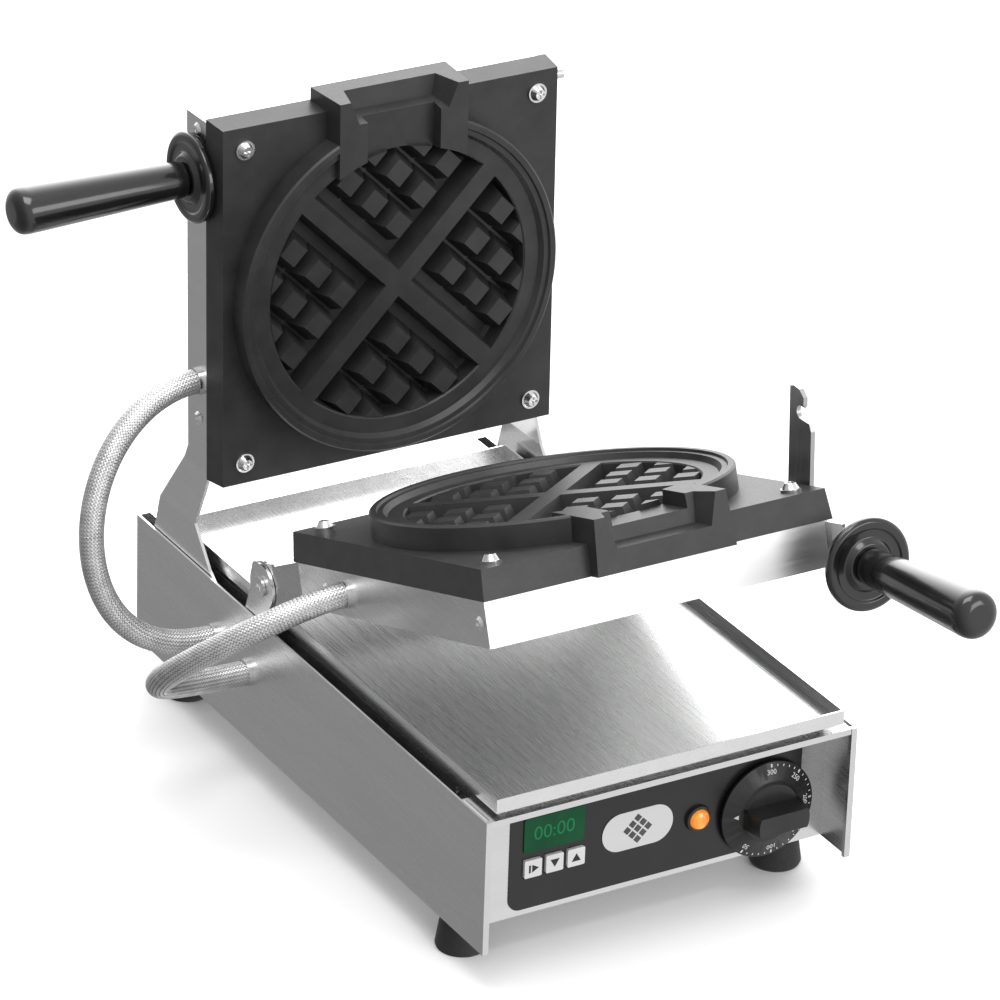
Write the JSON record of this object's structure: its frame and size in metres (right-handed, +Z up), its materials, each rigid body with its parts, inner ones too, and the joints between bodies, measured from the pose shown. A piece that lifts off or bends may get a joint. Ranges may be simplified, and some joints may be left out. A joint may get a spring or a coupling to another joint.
{
  "type": "round waffle baker",
  "caption": "Countertop waffle baker: two tilting round stud plates on a stainless base with drip pan, timer, thermostat dial, latch hook and braided conduits.",
  "frame": {"origin": "bottom centre of the whole part's box, on the floor under the feet", "axes": "+Z up, the control panel faces -Y, the hinge runs along X"},
  "size_m": [0.4011, 0.5954, 0.4266],
  "materials": {
    "stainless": "brushed",
    "polished_pan": "polished",
    "fastener": "bright zinc",
    "casting": "satin baked-on black",
    "braid": "woven braid",
    "foot_rubber": "matt",
    "overlay": "satin film",
    "display": "tinted window",
    "key": "matt",
    "board": "lacquered board",
    "lamp": "translucent lens",
    "black_plastic": "satin",
    "handle": "gloss",
    "badge": "satin plate",
    "bakelite": "moulded",
    "terminal": "moulded",
    "heater": "heat-tinted sheath",
    "clamp": "mill finish",
    "wool": "mineral fibre",
    "hook": "ground"
  },
  "bodies": {
    "base": {"bottom_plate": "stainless", "side_panel_left": "stainless", "side_panel_right": "stainless", "front_panel": "stainless", "rear_panel": "stainless", "rear_cover": "stainless", "inner_chassis": "stainless", "drip_pan": "polished_pan", "hinge_bracket_left": "stainless", "hinge_bracket_right": "stainless", "pivot_bolts": "fastener", "rubber_feet": "foot_rubber", "foot_screws": "fastener", "control_overlay": "overlay", "display_window": "display", "timer_board": "board", "name_plate": "badge", "pilot_lens": "lamp", "pilot_bezel": "black_plastic", "thermostat_body": "bakelite", "cable_gland": "black_plastic", "terminal_block": "terminal", "contactor": "bakelite", "panel_glands": "fastener", "conduit_upper": "braid", "conduit_lower": "braid"},
    "lower_half": {"lower_casting": "casting", "lower_housing": "stainless", "lower_heater": "heater", "lower_clamp_plate": "clamp", "lower_insulation": "wool", "lower_arm_left": "stainless", "lower_arm_right": "stainless", "lower_plate_screws": "fastener", "lower_side_screws": "fastener", "lower_probe": "fastener", "lower_ferrule": "fastener", "lower_handle_bracket": "stainless", "lower_handle_flange": "handle", "lower_handle_grip": "handle", "latch_screw": "fastener"},
    "upper_half": {"upper_casting": "casting", "upper_housing": "stainless", "upper_heater": "heater", "upper_clamp_plate": "clamp", "upper_insulation": "wool", "upper_arm_left": "stainless", "upper_arm_right": "stainless", "upper_plate_screws": "fastener", "upper_side_screws": "fastener", "upper_ferrule": "fastener", "upper_handle_flange": "handle", "upper_handle_grip": "handle", "latch_pin": "fastener"},
    "latch": {"latch_hook": "hook"},
    "dial": {"thermostat_knob": "black_plastic", "knob_shaft": "fastener"},
    "start_key": {"key_start": "key"},
    "down_key": {"key_down": "key"},
    "up_key": {"key_up": "key"}
  },
  "joints": [
    {"name": "lower_tilt", "type": "hinge", "parent": "base", "child": "lower_half", "pos_m": [0.04644, 0.11695, 0.1399], "axis": [-1, 0, 0], "range_deg": [-19, 8], "deforming": ["conduit_lower"]},
    {"name": "upper_open", "type": "hinge", "parent": "lower_half", "child": "upper_half", "pos_m": [0.04644, 0.11695, 0.1399], "axis": [-1, 0, 0], "range_deg": [-72.2, 4], "deforming": ["conduit_upper"]},
    {"name": "latch_turn", "type": "hinge", "parent": "lower_half", "child": "latch", "pos_m": [0.17044, -0.1033, 0.219], "axis": [1, 0, 0], "range_deg": [-50, 11.7]},
    {"name": "dial_turn", "type": "hinge", "parent": "base", "child": "dial", "pos_m": [0.13144, -0.14005, 0.0575], "axis": [0, 1, 0], "range_deg": [0, 270]},
    {"name": "start_press", "type": "slide", "parent": "base", "child": "start_key", "axis": [0, 1, 0], "range_m": [0, 0.0008], "stiffness_N_per_m": 800},
    {"name": "down_press", "type": "slide", "parent": "base", "child": "down_key", "axis": [0, 1, 0], "range_m": [0, 0.0008], "stiffness_N_per_m": 800},
    {"name": "up_press", "type": "slide", "parent": "base", "child": "up_key", "axis": [0, 1, 0], "range_m": [0, 0.0008], "stiffness_N_per_m": 800}
  ]
}
